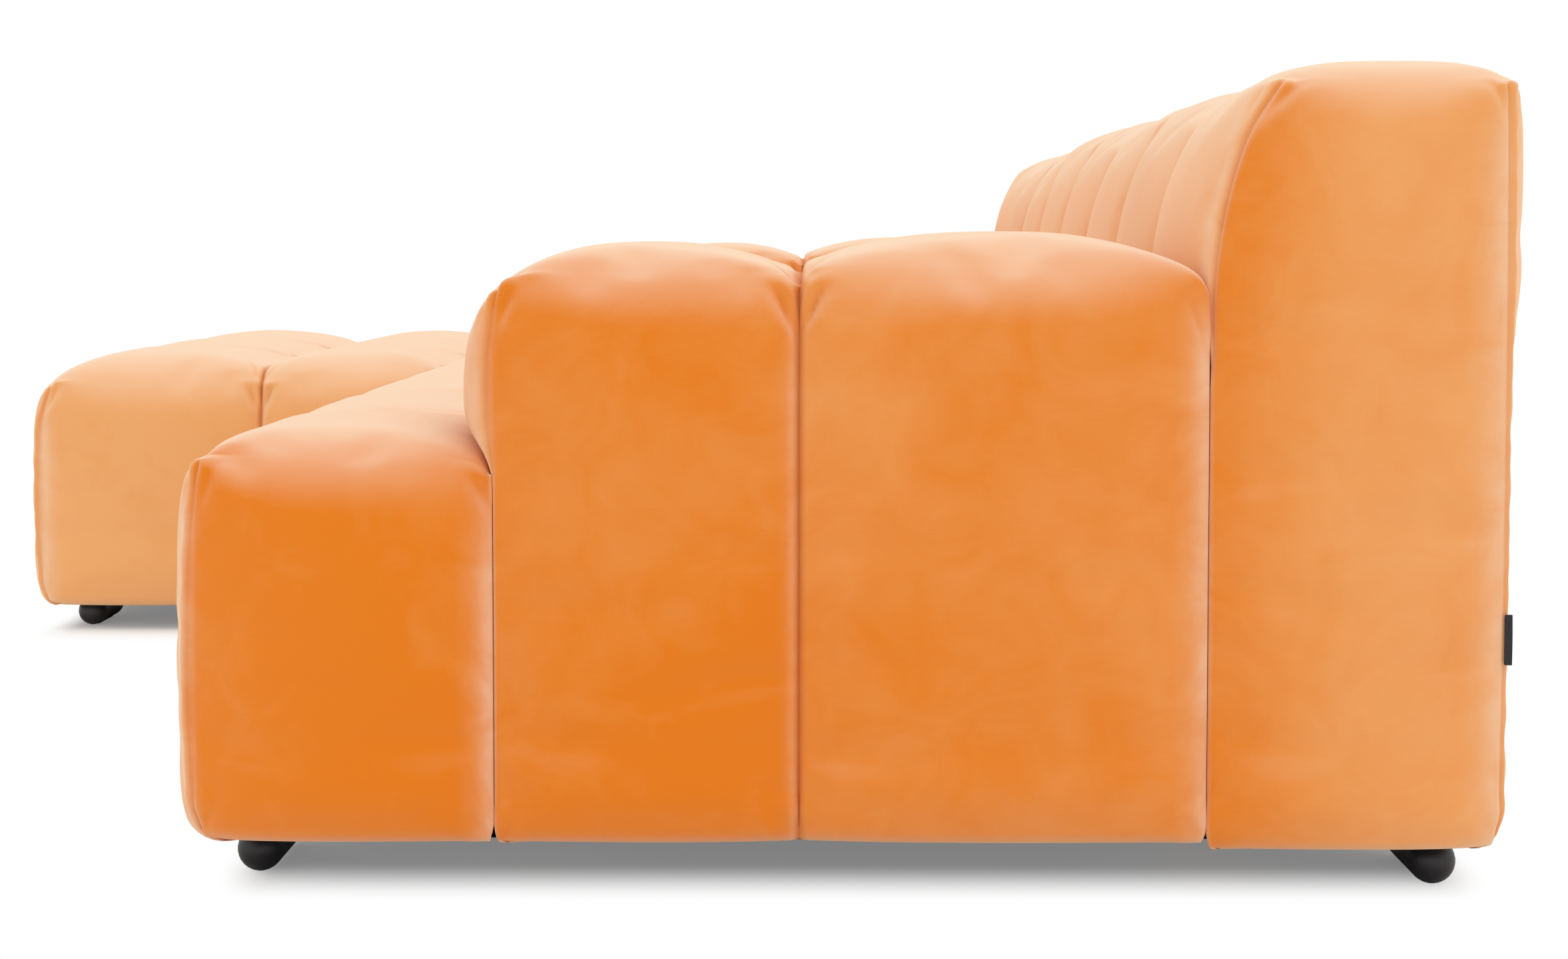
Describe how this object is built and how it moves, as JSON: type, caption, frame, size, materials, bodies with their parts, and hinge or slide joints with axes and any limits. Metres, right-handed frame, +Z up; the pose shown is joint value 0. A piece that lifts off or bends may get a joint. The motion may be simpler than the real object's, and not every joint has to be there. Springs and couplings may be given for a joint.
{
  "type": "corner lounge sofa",
  "caption": "Corner lounge sofa with a chaise, in two modules, covered in a grid of plump sewn velvet pillows and standing on low black bar feet.",
  "frame": {"origin": "on the floor under the middle of the sofa's box", "axes": "+X along the back towards the end of the seat module, +Y from the front of the chaise to the back, +Z up"},
  "size_m": [2.8238, 1.9145, 0.805],
  "materials": {
    "velvet": "orange velvet, sewn in a grid of pillows",
    "foam": "upholstery foam",
    "timber": "planed softwood",
    "plywood": "birch plywood",
    "spring_steel": "bright spring wire",
    "zinc_steel": "zinc plated",
    "webbing": "black elastic webbing",
    "dust_cloth": "thin black lining cloth",
    "foot_black": "matte black",
    "glide": "soft black",
    "tag": "plain black woven"
  },
  "bodies": {
    "root": {"seat_cover_right": "velvet", "seat_cover_left": "velvet", "arm_cover_right": "velvet", "arm_cover_left": "velvet", "back_cover_right": "velvet", "back_cover_left": "velvet", "seat_foam_right": "foam", "seat_foam_left": "foam", "arm_foam_right": "foam", "arm_foam_left": "foam", "back_foam_right": "foam", "back_foam_left": "foam", "seat_rails_right": "timber", "seat_rails_left": "timber", "cross_rails_right": "timber", "cross_rails_left": "timber", "seat_springs_right": "spring_steel", "seat_springs_left": "spring_steel", "spring_clips_right": "zinc_steel", "spring_clips_left": "zinc_steel", "arm_boards_right": "plywood", "arm_boards_left": "plywood", "arm_ribs_right": "timber", "arm_ribs_left": "timber", "back_frame_right": "timber", "back_frame_left": "timber", "back_webbing_right": "webbing", "back_webbing_left": "webbing", "dust_cover_right": "dust_cloth", "dust_cover_left": "dust_cloth", "foot_plates": "zinc_steel", "foot_saddles": "foot_black", "foot_bars": "foot_black", "foot_glides": "glide", "foot_bolts": "zinc_steel", "joining_plates": "zinc_steel", "joining_screws": "zinc_steel", "lock_plates": "zinc_steel", "lock_studs": "zinc_steel", "lock_screws": "zinc_steel", "blank_tag": "tag"}
  },
  "joints": []
}
